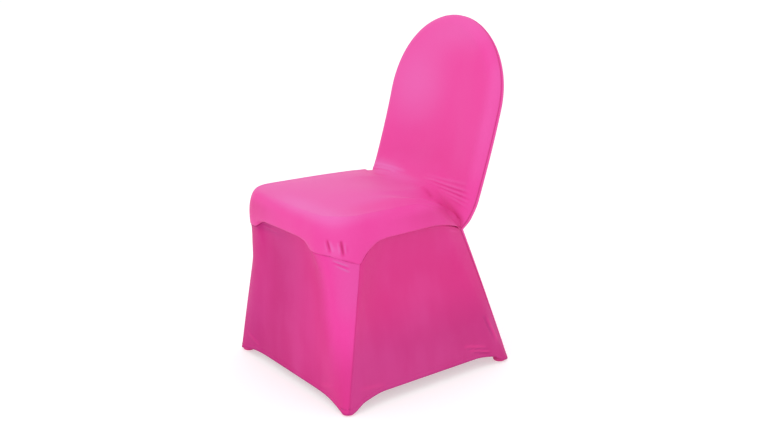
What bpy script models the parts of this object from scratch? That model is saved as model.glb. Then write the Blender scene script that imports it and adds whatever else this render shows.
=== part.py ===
"""Stretch cover for a round-topped banquet chair, as the hollow shell in which it hangs.

Units are metres. X runs across the seat, the front faces -Y, Z is up, and the floor under the
middle of the cover is the origin. Every sewn panel is its own closed sheet. Neighbouring panels
share the points of their seam, and each stops half a seam gap short of it.
"""
import bpy
import numpy as np

# Cloth
CLOTH = 0.002
SEAM_GAP = 0.0003
WELD = 1e-6

# Seat in plan and in height
SEAT_HALF = 0.230
SEAT_REAR_HALF = 0.228
SEAT_FRONT = -0.288
SEAT_BOW = 0.010
CORNER_RADIUS = 0.086
TURN_Y = 0.069
TURN_RADIUS = 0.080
SEAT_TOP = 0.481
SEAT_CROWN = 0.019
CROWN_LENGTH = 0.230
CROWN_Y = -0.051
EDGE_WIDTH = 0.027
EDGE_MOST = 0.6
PATH_PULL = 0.42
PATH_SOFT = 0.120

RIDGE_AZIMUTH = 86.0
REAR_CORNER_AZIMUTH = 135.0

# Junction, where seat, side, inside back and outside back meet
JUNCTION_X = 0.197
JUNCTION_Y = 0.135
JUNCTION_Z = 0.390
JUNCTION_NORMAL = (0.80, 0.20, 0.56)
JUNCTION_BLEND = 0.027

# Lower edge of the seat, forward from the ridge seam and back from it.
# Columns: distance along the edge, height of the arched seam, height of the lip, seam's inset
FRONT_EDGE = (
    (0.000, 0.365, 0.420, 0.0000),
    (0.030, 0.376, 0.420, 0.0008),
    (0.080, 0.388, 0.420, 0.0024),
    (0.135, 0.391, 0.421, 0.0070),
    (0.165, 0.408, 0.422, 0.0145),
    (0.195, 0.415, 0.423, 0.0160),
    (0.280, 0.416, 0.424, 0.0160),
)
SIDE_EDGE = (
    (0.000, 0.364, 0.420, 0.0000),
    (0.010, 0.376, 0.420, 0.0016),
    (0.020, 0.386, 0.420, 0.0038),
    (0.035, 0.397, 0.420, 0.0076),
    (0.060, 0.410, 0.421, 0.0130),
    (0.090, 0.415, 0.422, 0.0160),
    (0.150, 0.417, 0.424, 0.0160),
    (0.240, 0.420, 0.427, 0.0150),
    (0.280, 0.416, 0.422, 0.0110),
    (0.320, 0.406, 0.410, 0.0060),
    (0.355, JUNCTION_Z, JUNCTION_Z, 0.0000),
)

# Back: height, half width
BACK_TOP = 0.925
ARCH_Z = 0.702
BACK_HALF = 0.2235
BACK_WIDTHS = (
    (JUNCTION_Z, JUNCTION_X),
    (0.420, 0.214),
    (0.468, 0.2225),
    (ARCH_Z, BACK_HALF),
)
# Back: height, place of the middle of its depth
BACK_LEAN = (
    (JUNCTION_Z, JUNCTION_Y),
    (0.467, 0.164),
    (ARCH_Z, 0.233),
    (BACK_TOP, 0.279),
)
BACK_DEPTH = 0.025
BACK_EDGE = 0.030
DISH = 0.006
DISH_REACH = 0.160
SLOPE_STEP = 0.004

# Crease between the seat and the inside back: place across, height. It is pulled down on the right
# and lies level on the left until close to the junction.
CREASE_Z = 0.474
RIGHT_CREASE = (
    (0.000, CREASE_Z),
    (0.300, CREASE_Z),
    (0.500, 0.463),
    (0.650, 0.449),
    (0.800, 0.431),
    (0.900, 0.420),
    (0.960, 0.413),
    (0.988, 0.405),
    (1.000, JUNCTION_Z),
)
LEFT_CREASE = (
    (0.000, CREASE_Z),
    (0.300, CREASE_Z),
    (0.600, 0.476),
    (0.800, 0.475),
    (0.900, 0.470),
    (0.960, 0.458),
    (0.988, 0.430),
    (1.000, JUNCTION_Z),
)
# How far from the junction the seat's edge begins to fall, and the share of the way to the crease
# at which its top does
RIGHT_REACH = 0.180
LEFT_REACH = 0.075
RIGHT_FALL = 0.50
LEFT_FALL = 0.78
FLARE = 0.016
FLARE_HEIGHT = 0.060

# Feet and hems
FOOT_FRONT_X = 0.272
FOOT_FRONT_Y = -0.282
FOOT_REAR_X = 0.247
FOOT_REAR_Y = 0.284
FOOT_RADIUS = 0.022
FOOT_RIDGE_AZIMUTH = 64.0
FOOT_HEM = 0.019
FRONT_HEM = 0.023
SIDE_HEM = 0.033
REAR_HEM = 0.033
HEM_PULL = 0.010
HEM_REACH = 0.120

# Skirts pulled in between the legs
SKIRT_PULL = 0.014
PULL_REACH = 0.100
PULL_PEAK = 0.1055
LEG_BOW = 0.0025

# Foot pockets: radius, height of the outside, bottom to rim
POCKET_RIM = FOOT_HEM - 0.0005
POCKET_PROFILE = (
    (0.0140, 0.000),
    (0.0175, 0.002),
    (0.0200, 0.008),
    (FOOT_RADIUS, POCKET_RIM),
)
POCKET_SIDES = 20

# Grid of the panels
FRONT_COLUMNS = 11
SIDE_COLUMNS = 13
EDGE_COLUMNS = 4
UNDER_ROWS = 4
EDGE_ROWS = 6
TOP_ROWS = 7
BACK_ROWS = 10
ARCH_ROWS = 7
SKIRT_ROWS = 9
DENSE = 3001

PINK = (0.84, 0.06, 0.38, 1.0)
DEEP_PINK = (0.72, 0.045, 0.32, 1.0)


def clear_scene():
    for item in list(bpy.data.objects):
        bpy.data.objects.remove(item, do_unlink=True)


def ease(share):
    """Rises from 0 to 1 with level ends."""
    share = np.clip(share, 0.0, 1.0)
    return share * share * (3.0 - 2.0 * share)


def mix(first, last, share):
    return first + (last - first) * share


def through(x, table):
    """Smooth curve through a table's points that never swings past them."""
    xs, ys = np.array(table, float).T
    step = np.diff(xs)
    rise = np.diff(ys) / step
    slope = np.empty_like(ys)
    slope[0], slope[-1] = rise[0], rise[-1]
    product = rise[:-1] * rise[1:]
    total = np.where(product > 0, rise[:-1] + rise[1:], 1.0)
    slope[1:-1] = np.where(product > 0, 2 * product / total, 0.0)
    x = np.clip(x, xs[0], xs[-1])
    k = np.clip(np.searchsorted(xs, x, side="right") - 1, 0, len(xs) - 2)
    t = (x - xs[k]) / step[k]
    before = (1 + 2 * t) * (1 - t) ** 2 * ys[k] + t * (1 - t) ** 2 * step[k] * slope[k]
    after = t * t * (3 - 2 * t) * ys[k + 1] + t * t * (t - 1) * step[k] * slope[k + 1]
    return before + after


def rounded_line(corners, radii, steps=240):
    """Straight runs between plan corners, joined by arcs of the given radii."""
    points = [np.array(corners[0], float)[None]]
    for k in range(1, len(corners) - 1):
        before, corner, after = (np.array(c, float) for c in corners[k - 1:k + 2])
        back = (before - corner) / np.linalg.norm(before - corner)
        on = (after - corner) / np.linalg.norm(after - corner)
        half = np.arccos(np.clip(back @ on, -1, 1)) / 2
        middle = (back + on) / np.linalg.norm(back + on)
        centre = corner + middle * radii[k] / np.sin(half)
        first = corner + back * radii[k] / np.tan(half) - centre
        last = corner + on * radii[k] / np.tan(half) - centre
        start = np.arctan2(first[1], first[0])
        turn = (np.arctan2(last[1], last[0]) - start + np.pi) % (2 * np.pi) - np.pi
        angle = start + turn * np.linspace(0, 1, steps)
        points.append(centre + radii[k] * np.stack([np.cos(angle), np.sin(angle)], -1))
    points.append(np.array(corners[-1], float)[None])
    return np.concatenate(points)


def line_length(line):
    return np.linalg.norm(np.diff(line, axis=0), axis=1).sum()


def along(line, share):
    """Points at shares of a line's length."""
    steps = np.linalg.norm(np.diff(line, axis=0), axis=1)
    length = np.concatenate([[0.0], np.cumsum(steps)])
    return np.stack([np.interp(share * length[-1], length, line[:, k]) for k in range(2)], -1)


def plan_normals(line):
    run = np.gradient(line, axis=0)
    normal = np.stack([run[:, 1], -run[:, 0]], -1)
    return normal / np.linalg.norm(normal, axis=1)[:, None]


def split_line(line, azimuth):
    """Cut a line where it faces an azimuth: 0 is the front, 90 the right side."""
    normal = plan_normals(line)
    faces = np.degrees(np.arctan2(normal[:, 0], -normal[:, 1]))
    k = int(np.argmax(faces >= azimuth))
    return line[:k + 1], line[k:]


def seat_line():
    """Right half of the seat's widest line in plan, front middle to junction."""
    corners = [(0, SEAT_FRONT), (SEAT_HALF, SEAT_FRONT), (SEAT_REAR_HALF, TURN_Y), (JUNCTION_X, JUNCTION_Y)]
    line = along(rounded_line(corners, [0, CORNER_RADIUS, TURN_RADIUS, 0]), np.linspace(0, 1, DENSE))
    front = line[:, 1] < TURN_Y - TURN_RADIUS
    bow = SEAT_BOW * ease(1.25 * (1 - np.abs(line[:, 0]) / SEAT_HALF)) * front
    return line - np.stack([np.zeros(DENSE), bow], -1)


def foot_line():
    """Right half of the hem in plan, front middle to rear middle, before it is pulled in."""
    corners = [
        (0, FOOT_FRONT_Y),
        (FOOT_FRONT_X, FOOT_FRONT_Y),
        (FOOT_REAR_X, FOOT_REAR_Y),
        (0, FOOT_REAR_Y),
    ]
    line = rounded_line(corners, [0, FOOT_RADIUS, FOOT_RADIUS, 0])
    return along(line, np.linspace(0, 1, 2 * DENSE))


class SeatColumns:
    """Where each column of the seat starts on its widest line, right half."""

    def __init__(self):
        front, side = split_line(seat_line(), RIDGE_AZIMUTH)
        front_share = np.linspace(0, 1, FRONT_COLUMNS)
        side_share = np.linspace(0, 1, SIDE_COLUMNS)
        self.plan = np.concatenate([along(front, front_share), along(side, side_share)[1:]])
        dense_share = np.linspace(0, 1, DENSE)
        dense = np.concatenate([along(front, dense_share), along(side, dense_share)[1:]])
        normal = plan_normals(dense)
        normal[0] = (0, -1)
        place = np.concatenate([front_share * (DENSE - 1), (1 + side_share[1:]) * (DENSE - 1)])
        picked = [np.interp(place, np.arange(len(dense)), normal[:, k]) for k in range(2)]
        self.normal = np.stack(picked, -1)
        self.normal /= np.linalg.norm(self.normal, axis=1)[:, None]
        self.ridge = FRONT_COLUMNS - 1
        self.side_length = line_length(side)
        before = (front_share - 1) * line_length(front)
        self.distance = np.concatenate([before, side_share[1:] * self.side_length])
        self.seam_height, self.lip_height, self.inset = self.lower_edge()

    def soft_directions(self):
        """Normals averaged along the edge, its mirror included, by a Gaussian of the distance."""
        step = np.gradient(self.distance)
        away = self.distance[:, None] - self.distance
        beyond = self.distance[:, None] + self.distance - 2 * self.distance[0]
        own = (np.exp(-(away / PATH_SOFT) ** 2) * step) @ self.normal
        other = (np.exp(-(beyond / PATH_SOFT) ** 2) * step) @ (self.normal * (-1, 1))
        total = own + other
        return total / np.linalg.norm(total, axis=1)[:, None]

    def lower_edge(self):
        """Heights and inset along the edge, read from the front and side tables."""
        side = self.distance > 0
        stretch = SIDE_EDGE[-1][0] / self.side_length
        values = []
        for column in (1, 2, 3):
            front_curve = [(row[0], row[column]) for row in FRONT_EDGE]
            side_curve = [(row[0], row[column]) for row in SIDE_EDGE]
            ahead = through(-self.distance, front_curve)
            behind = through(self.distance * stretch, side_curve)
            values.append(np.where(side, behind, ahead))
        return values


def across(count):
    """Place across the back, 0 in the middle, 1 at the outline, close together round the edge."""
    edge_share = BACK_EDGE / BACK_HALF
    flat = np.linspace(0, 1 - edge_share, count - EDGE_COLUMNS)
    angle = np.linspace(np.pi / 2, 0, EDGE_COLUMNS + 1)
    return np.concatenate([flat, 1 - edge_share * (1 - np.cos(angle[1:]))])


def back_half(z):
    return through(z, BACK_WIDTHS)


def back_middle(z):
    return through(z, BACK_LEAN)


def back_face(x, z, inward, side, flare):
    """Point on the inside face (side -1) or outside face (side +1) of the padded back.

    The face is an ellipse over the edge width, inward from the outline, then level, and it is
    set square to the leaning middle of the back. The inside face is dished.
    """
    rise = 1 - np.clip(inward / BACK_EDGE, 0, 1)
    off = BACK_DEPTH * np.sqrt(np.maximum(1 - rise ** 2, 0))
    if side < 0:
        above = ease((z - CREASE_Z) / (2 * FLARE_HEIGHT))
        off = off - DISH * ease((inward - 0.3 * BACK_EDGE) / DISH_REACH) * above
    slope = (back_middle(z + SLOPE_STEP) - back_middle(z - SLOPE_STEP)) / (2 * SLOPE_STEP)
    level = 1 / np.hypot(1, slope)
    return np.stack([x, back_middle(z) + side * off * level - flare, z - side * off * level * slope], -1)


def back_panel(place, side, lowest):
    """Right half of a back face: level rows up to the arch, then rows that fan round it."""
    share = np.linspace(0, 1, BACK_ROWS)[:, None]
    z = mix(lowest[None], ARCH_Z, share)
    half = back_half(z)
    flare = 0.0
    if side < 0:
        up = np.clip((z - lowest[None]) / FLARE_HEIGHT, 0, 1)
        flare = FLARE * (1 - up) ** 2 * (1 - place[None] ** 4)
    straight = back_face(place * half, z, (1 - place) * half, side, flare)
    angle = np.linspace(0, np.pi / 2, ARCH_ROWS + 1)[1:, None]
    rise = BACK_TOP - ARCH_Z
    x = place * BACK_HALF * np.cos(angle)
    z = ARCH_Z + place * rise * np.sin(angle)
    inward = (1 - place) * (BACK_HALF * np.cos(angle) ** 2 + rise * np.sin(angle) ** 2)
    return np.concatenate([straight, back_face(x, z, inward, side, 0.0)])


def seam_under_seat(columns):
    """Arched seam between the seat and the skirts, set in from the widest line."""
    plan = columns.plan - columns.normal * columns.inset[:, None]
    return np.column_stack([plan, columns.seam_height])


def seat_height(plan):
    """Crowned top of the seat: a parabola across times a parabola along."""
    wide = np.clip(1 - (plan[:, 0] / SEAT_HALF) ** 2, 0, 1)
    long = np.clip(1 - ((plan[:, 1] - CROWN_Y) / CROWN_LENGTH) ** 2, 0, 1)
    return SEAT_TOP + SEAT_CROWN * wide * long


def either(first, second):
    """Soft larger of two shares: 1 - ((1 - a)^-4 + (1 - b)^-4 - 1)^(-1/4)."""
    a, b = (np.maximum(1 - share, WELD) for share in (first, second))
    return 1 - (a ** -4.0 + b ** -4.0 - 1) ** -0.25


def seat_panel(columns, place, crease_table, reach, fall_start):
    """One half of the seat: under the lip, round the edge, then over the top to the crease.

    The top's fall to the crease starts alike in the middle and apart towards the sides.
    """
    height = through(place, crease_table)
    half = back_half(height)
    crease = back_face(place * half, height, (1 - place) * half, -1, FLARE * (1 - place ** 4))
    lip = columns.lip_height
    span = np.linalg.norm(crease[:, :2] - columns.plan, axis=1)
    edge_share = np.minimum(EDGE_WIDTH / np.maximum(span, WELD), EDGE_MOST)
    pulled = columns.plan - columns.soft_directions() * (PATH_PULL * span)[:, None]

    def on_path(share):
        share = share[:, None]
        bend = 2 * share * (1 - share) * pulled
        return (1 - share) ** 2 * columns.plan + bend + share ** 2 * crease[:, :2]

    start = mix(RIGHT_FALL, fall_start, ease(np.arange(len(place)) / columns.ridge))
    end = ease((columns.distance - columns.side_length) / reach + 1)

    def top_height(plan, share):
        return mix(seat_height(plan), crease[:, 2], either(ease((share - start) / (1 - start)), end))

    rows = []
    for angle in np.linspace(np.pi / 2, 0, UNDER_ROWS)[:-1]:
        plan = columns.plan - columns.normal * (columns.inset * (1 - np.cos(angle)))[:, None]
        rows.append(np.column_stack([plan, mix(lip, columns.seam_height, np.sin(angle))]))
    for angle in np.linspace(0, np.pi / 2, EDGE_ROWS)[:-1]:
        share = edge_share * (1 - np.cos(angle))
        plan = on_path(share)
        rows.append(np.column_stack([plan, mix(lip, top_height(plan, share), np.sin(angle))]))
    for step in np.linspace(0, 1, TOP_ROWS):
        share = mix(edge_share, 1.0, step)
        plan = on_path(share)
        rows.append(np.column_stack([plan, top_height(plan, share)]))
    return np.array(rows)


def pull_profile(height_share):
    """How far a skirt is pulled in over its height: nothing at the hem and the seam, most high up."""
    return (1 - height_share) * height_share ** 3 / PULL_PEAK


def skirt_front(columns, line):
    top = seam_under_seat(columns)[:columns.ridge + 1]
    length = line_length(line)
    arc = FOOT_RADIUS * np.radians(FOOT_RIDGE_AZIMUTH)
    share = through(np.linspace(0, 1, FRONT_COLUMNS), ((0, 0), (0.70, 1 - arc / length), (1, 1)))
    away = (1 - share) * length
    bottom = along(line, share)
    bottom[:, 1] += HEM_PULL * ease(away / HEM_REACH)
    hem = mix(FOOT_HEM, FRONT_HEM, ease(away / HEM_REACH))
    up = np.linspace(0, 1, SKIRT_ROWS)[:, None, None]
    grid = mix(np.column_stack([bottom, hem])[None], top[None], up)
    reach = ease((-columns.distance[:columns.ridge + 1] - 0.25 * PULL_REACH) / PULL_REACH)
    pull = SKIRT_PULL * reach * pull_profile(up[..., 0])
    grid[..., :2] -= columns.normal[None, :columns.ridge + 1] * pull[..., None]
    return grid


def skirt_side(columns, line):
    top = seam_under_seat(columns)[columns.ridge:]
    length = line_length(line)
    first = FOOT_RADIUS * np.radians(90 - FOOT_RIDGE_AZIMUTH) / length
    last = 1 - FOOT_RADIUS * np.radians(REAR_CORNER_AZIMUTH - 90) / length
    share = through(np.linspace(0, 1, SIDE_COLUMNS), ((0, 0), (0.08, first), (0.84, last), (1, 1)))
    free = ease(share * length / HEM_REACH) * ease((1 - share) * length / HEM_REACH)
    bottom = along(line, share)
    bottom[:, 0] -= HEM_PULL * free
    hem = mix(FOOT_HEM, SIDE_HEM, free)
    up = np.linspace(0, 1, SKIRT_ROWS)[:, None, None]
    grid = mix(np.column_stack([bottom, hem])[None], top[None], up)
    distance = columns.distance[columns.ridge:]
    left = columns.side_length - distance
    pull = SKIRT_PULL * ease(distance / PULL_REACH) * ease(left / PULL_REACH) * pull_profile(up[..., 0])
    grid[..., :2] -= columns.normal[None, columns.ridge:] * pull[..., None]
    grid[..., 1] += LEG_BOW * ease(1 - left / PULL_REACH) * np.sin(np.pi * up[..., 0])
    return grid


def skirt_rear(place, line, top):
    """Lower part of the outside back, middle to corner, hem to the height of the junction."""
    length = line_length(line)
    arc = FOOT_RADIUS * np.radians(REAR_CORNER_AZIMUTH - 90) / length
    share = through(place, ((0, 1), (1 - BACK_EDGE / BACK_HALF, arc), (1, 0)))
    bottom = along(line, share)
    hem = mix(FOOT_HEM, REAR_HEM, ease(share * length / HEM_REACH))
    up = np.linspace(0, 1, SKIRT_ROWS)[:, None, None]
    grid = mix(np.column_stack([bottom, hem])[None], top[None], up)
    grid[..., 1] += LEG_BOW * np.sin(np.pi * up[..., 0])
    return grid


def mirrored(grid):
    """The other side's grid, its columns turned round so that it still faces out."""
    flipped = grid[:, ::-1].copy()
    flipped[..., 0] *= -1
    return flipped


def whole(grid, other=None):
    """A right half, middle first, with the mirror of itself or of the left half."""
    return np.concatenate([mirrored(grid if other is None else other)[:, :-1], grid], axis=1)


def cover_grids():
    """Every panel's outer face, as grids whose rows go up and whose columns go right as it faces us."""
    columns = SeatColumns()
    place = across(FRONT_COLUMNS + SIDE_COLUMNS - 1)
    seat = whole(
        seat_panel(columns, place, RIGHT_CREASE, RIGHT_REACH, RIGHT_FALL),
        seat_panel(columns, place, LEFT_CREASE, LEFT_REACH, LEFT_FALL),
    )
    inside = whole(*(back_panel(place, -1, through(place, table)) for table in (RIGHT_CREASE, LEFT_CREASE)))
    outside = back_panel(place, 1, np.full(len(place), JUNCTION_Z))
    front_line, rest = split_line(foot_line(), FOOT_RIDGE_AZIMUTH)
    side_line, rear_line = split_line(rest, REAR_CORNER_AZIMUTH)
    side = skirt_side(columns, side_line)
    rear = skirt_rear(place, rear_line, outside[0])
    return {
        "seat": [seat],
        "inside_back": [inside],
        "outside_back": [whole(outside)[:, ::-1], whole(rear)[:, ::-1]],
        "front_skirt": [whole(skirt_front(columns, front_line))],
        "left_skirt": [mirrored(side)],
        "right_skirt": [side],
    }


def weld(grids):
    """One list of points and faces from grids, with points that coincide made one."""
    points = np.concatenate([grid.reshape(-1, 3) for grid in grids])
    faces = []
    start = 0
    for grid in grids:
        rows, count = grid.shape[:2]
        index = start + np.arange(rows * count).reshape(rows, count)
        corners = [index[:-1, :-1], index[:-1, 1:], index[1:, 1:], index[1:, :-1]]
        faces.append(np.stack(corners, -1).reshape(-1, 4))
        start += rows * count
    keys, first, merged = np.unique(
        np.round(points / WELD).astype(np.int64), axis=0, return_index=True, return_inverse=True)
    points = points[first]
    polygons = []
    for corners in merged.reshape(-1)[np.concatenate(faces)].tolist():
        kept = [c for k, c in enumerate(corners) if c != corners[k - 1]]
        if len(set(kept)) >= 3:
            polygons.append(kept)
    return points, keys, polygons


def face_normals(points, polygons):
    """Normal times area of each face."""
    corners = np.array([p + p[-1:] * (4 - len(p)) for p in polygons])
    first = points[corners[:, 2]] - points[corners[:, 0]]
    second = points[corners[:, 3]] - points[corners[:, 1]]
    return np.cross(first, second) / 2


def shared_normals(panels):
    """Direction of the cloth's thickness at each point, shared by all the panels that meet there.

    It is the sum of the face normals, turned near each junction towards one common direction.
    """
    total = {}
    for points, keys, polygons in panels.values():
        normals = face_normals(points, polygons)
        normals /= np.linalg.norm(normals, axis=1)[:, None]
        for polygon, normal in zip(polygons, normals):
            for corner in polygon:
                key = tuple(keys[corner])
                total[key] = total.get(key, 0) + normal
    directions = {}
    for key, vector in total.items():
        place = np.array(key) * WELD
        hand = np.sign(place[0])
        away = np.linalg.norm(place * (abs(hand), 1, 1) - (hand * JUNCTION_X, JUNCTION_Y, JUNCTION_Z))
        common = np.array(JUNCTION_NORMAL) * (hand, 1, 1)
        vector = mix(vector / np.linalg.norm(vector), common, ease(1.5 - away / JUNCTION_BLEND))
        directions[key] = vector / np.linalg.norm(vector)
    return directions


def open_edges(polygons):
    """Edges that only one face uses, in that face's direction."""
    used = {}
    for polygon in polygons:
        for k, corner in enumerate(polygon):
            used[(polygon[k - 1], corner)] = True
    return [(a, b) for a, b in used if (b, a) not in used]


def drawn_back(points, normals, edges):
    """Move the rim into its own panel by half a seam gap, square to the seam."""
    into = np.zeros_like(points)
    for a, b in edges:
        run = points[b] - points[a]
        across_seam = np.cross(normals[a] + normals[b], run)
        across_seam /= np.linalg.norm(across_seam)
        into[a] += across_seam
        into[b] += across_seam
    size = np.linalg.norm(into, axis=1)
    rim = size > 0
    moved = points.copy()
    moved[rim] += into[rim] / size[rim, None] * (SEAM_GAP / np.maximum(size[rim], 1.0))[:, None]
    return moved


def rim_faces(a, b, count, from_a):
    """Two triangles across the cloth's edge, cut the same way in both panels of a seam."""
    if from_a:
        return [[b, a, b + count], [a, a + count, b + count]]
    return [[b, a, a + count], [b, a + count, b + count]]


def closed_sheet(panel, normals_by_key):
    """A sheet one cloth thick: outer face, inner face and a rim along every open edge."""
    points, keys, polygons = panel
    normals = np.array([normals_by_key[tuple(key)] for key in keys])
    edges = open_edges(polygons)
    outer = drawn_back(points, normals, edges)
    inner = outer - CLOTH * normals
    count = len(points)
    faces = list(polygons)
    faces += [[corner + count for corner in reversed(polygon)] for polygon in polygons]
    for a, b in edges:
        faces += rim_faces(a, b, count, tuple(keys[a]) < tuple(keys[b]))
    return np.concatenate([outer, inner]), faces


def pocket(centre_x, centre_y):
    """A turned cup under a foot: outside from the base up, over the rim, inside down to its floor."""
    outside = list(POCKET_PROFILE)
    inside = [(radius - CLOTH, max(height, CLOTH)) for radius, height in reversed(POCKET_PROFILE)]
    profile = np.array([(0.0, 0.0)] + outside + inside + [(0.0, CLOTH)])
    angle = np.linspace(0, 2 * np.pi, POCKET_SIDES + 1)
    angle[-1] = 0.0
    x = centre_x + profile[:, :1] * np.cos(angle)
    y = centre_y + profile[:, :1] * np.sin(angle)
    z = np.repeat(profile[:, 1:], POCKET_SIDES + 1, axis=1)
    points, _, polygons = weld([np.stack([x, y, z], -1)])
    return points, polygons


def cloth_material(name, colour):
    material = bpy.data.materials.new(name)
    material.use_nodes = True
    shader = material.node_tree.nodes["Principled BSDF"]
    shader.inputs["Base Color"].default_value = colour
    shader.inputs["Roughness"].default_value = 0.62
    shader.inputs["Metallic"].default_value = 0.0
    return material


def add_object(name, points, faces, material):
    mesh = bpy.data.meshes.new(name)
    mesh.from_pydata(points.tolist(), [], faces)
    mesh.materials.append(material)
    mesh.shade_smooth()
    item = bpy.data.objects.new(name, mesh)
    bpy.context.collection.objects.link(item)
    return item


def build_panels():
    panels = {name: weld(grids) for name, grids in cover_grids().items()}
    normals = shared_normals(panels)
    for name, panel in panels.items():
        colour = DEEP_PINK if "skirt" in name else PINK
        points, faces = closed_sheet(panel, normals)
        add_object(name, points, faces, cloth_material(name + "_knit", colour))


def build_pockets():
    for end, x, y in (
        ("front", FOOT_FRONT_X - FOOT_RADIUS, FOOT_FRONT_Y + FOOT_RADIUS),
        ("rear", FOOT_REAR_X - FOOT_RADIUS, FOOT_REAR_Y - FOOT_RADIUS),
    ):
        for hand, sign in (("left", -1), ("right", 1)):
            name = f"foot_pocket_{end}_{hand}"
            points, faces = pocket(sign * x, y)
            add_object(name, points, faces, cloth_material(name + "_knit", DEEP_PINK))


def main():
    clear_scene()
    build_panels()
    build_pockets()


main()
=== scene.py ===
"""Banquet chair cover with a round top: stretch knit panels sewn together and pulled tight.

Units are metres. X runs across the seat, the front faces -Y and Z is up. Every panel is one sheet of
cloth. Its points are a grid worked out in numpy over stations across and rows up, its folds are
added along the cloth's own normals, and Solidify gives it its thickness.
"""
from math import pi, radians

import bpy
import numpy as np
from mathutils import Matrix, Vector


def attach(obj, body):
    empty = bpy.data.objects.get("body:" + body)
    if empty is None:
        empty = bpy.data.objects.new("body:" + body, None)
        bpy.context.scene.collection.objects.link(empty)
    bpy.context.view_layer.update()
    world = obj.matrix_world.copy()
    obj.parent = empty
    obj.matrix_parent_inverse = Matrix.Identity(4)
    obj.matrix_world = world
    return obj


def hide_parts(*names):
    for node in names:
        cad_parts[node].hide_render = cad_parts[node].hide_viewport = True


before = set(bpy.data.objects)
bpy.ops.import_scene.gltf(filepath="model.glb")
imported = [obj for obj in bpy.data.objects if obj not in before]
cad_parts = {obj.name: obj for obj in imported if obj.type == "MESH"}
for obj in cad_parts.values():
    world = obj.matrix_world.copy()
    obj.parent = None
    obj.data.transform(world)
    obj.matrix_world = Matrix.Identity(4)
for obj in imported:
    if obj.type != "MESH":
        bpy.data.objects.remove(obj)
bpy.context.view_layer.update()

# Cloth
CLOTH = 0.0015
WELD = 2e-5

# Seat in plan and in height
SEAT_HALF = 0.230
SEAT_REAR_HALF = 0.228
SEAT_FRONT = -0.288
SEAT_BOW = 0.010
BOW_RISE = 1.25
CORNER_RADIUS = 0.086
TURN_Y = 0.069
TURN_RADIUS = 0.080
SEAT_TOP = 0.481
SEAT_CROWN = 0.019
CROWN_LENGTH = 0.230
CROWN_Y = -0.051
EDGE_WIDTH = 0.027
EDGE_MOST = 0.6
PATH_PULL = 0.42
PATH_SOFT = 0.120
RIDGE_AZIMUTH = 86.0
REAR_CORNER_AZIMUTH = 135.0

# Junction, where seat, side, inside back and outside back meet
JUNCTION_X = 0.197
JUNCTION_Y = 0.135
JUNCTION_Z = 0.390

# Lower edge of the seat, forward from the ridge seam and back from it.
# Columns: distance along the edge, height of the arched seam, height of the lip, seam's inset
FRONT_EDGE = (
    (0.0, 0.365, 0.42, 0.0),
    (0.03, 0.376, 0.42, 0.0008),
    (0.08, 0.388, 0.42, 0.0024),
    (0.135, 0.391, 0.421, 0.007),
    (0.165, 0.408, 0.422, 0.0145),
    (0.195, 0.415, 0.423, 0.016),
    (0.28, 0.416, 0.424, 0.016),
)
SIDE_EDGE = (
    (0.0, 0.364, 0.42, 0.0),
    (0.01, 0.376, 0.42, 0.0016),
    (0.02, 0.386, 0.42, 0.0038),
    (0.035, 0.397, 0.42, 0.0076),
    (0.06, 0.41, 0.421, 0.013),
    (0.09, 0.415, 0.422, 0.016),
    (0.15, 0.417, 0.424, 0.016),
    (0.24, 0.42, 0.427, 0.015),
    (0.28, 0.416, 0.422, 0.011),
    (0.32, 0.406, 0.41, 0.006),
    (0.355, JUNCTION_Z, JUNCTION_Z, 0.0),
)

# Back: half width, and the place of the middle of its depth, by height
BACK_TOP = 0.925
ARCH_Z = 0.702
BACK_HALF = 0.2235
BACK_WIDTHS = ((JUNCTION_Z, JUNCTION_X), (0.42, 0.214), (0.468, 0.2225), (ARCH_Z, BACK_HALF))
BACK_LEAN = ((JUNCTION_Z, JUNCTION_Y), (0.467, 0.164), (ARCH_Z, 0.233), (BACK_TOP, 0.279))
BACK_DEPTH = 0.025
BACK_EDGE = 0.030
DISH = 0.006
DISH_START = 0.3 * BACK_EDGE
DISH_REACH = 0.160
SLOPE_STEP = 0.004

# Crease between the seat and the inside back: place across, height. It is pulled down on the right
# and lies level on the left until close to the junction.
CREASE_Z = 0.474
RIGHT_CREASE = (
    (0.0, CREASE_Z),
    (0.3, CREASE_Z),
    (0.5, 0.463),
    (0.65, 0.449),
    (0.8, 0.431),
    (0.9, 0.42),
    (0.96, 0.413),
    (0.988, 0.405),
    (1.000, JUNCTION_Z),
)
LEFT_CREASE = (
    (0.0, CREASE_Z),
    (0.3, CREASE_Z),
    (0.6, 0.476),
    (0.8, 0.475),
    (0.9, 0.47),
    (0.96, 0.458),
    (0.988, 0.43),
    (1.000, JUNCTION_Z),
)
# How far from the junction the seat's edge begins to fall, and the share of the way to the crease
# at which its top does
RIGHT_REACH = 0.180
LEFT_REACH = 0.075
RIGHT_FALL = 0.50
LEFT_FALL = 0.78
FLARE = 0.016
FLARE_HEIGHT = 0.060

# Feet and hems
FOOT_FRONT_X = 0.272
FOOT_FRONT_Y = -0.282
FOOT_REAR_X = 0.247
FOOT_REAR_Y = 0.284
FOOT_RADIUS = 0.022
FOOT_RIDGE_AZIMUTH = 64.0
FOOT_HEM = 0.019
FOOT_DROP = 0.013
FOOT_DROP_REACH = 0.040
FRONT_HEM = 0.023
SIDE_HEM = 0.033
REAR_HEM = 0.033
HEM_PULL = 0.010
HEM_REACH = 0.120

# Skirts pulled in between their corners: PULL_PEAK is the most that (1 - u) u^3 comes to
SKIRT_PULL = 0.014
PULL_REACH = 0.100
PULL_START = 0.25 * PULL_REACH
PULL_PEAK = 0.1055
REAR_BOW = 0.0025

# Front skirt drawn smooth across below its seam: reach, share of the height in which it comes in
TAUT_REACH = 0.045
TAUT_RISE = 0.35

# Share of the stations, along a skirt, at which its hem starts or ends its turn round a foot
FRONT_TURN = 0.70
SIDE_TURNS = (0.08, 0.84)

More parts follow.
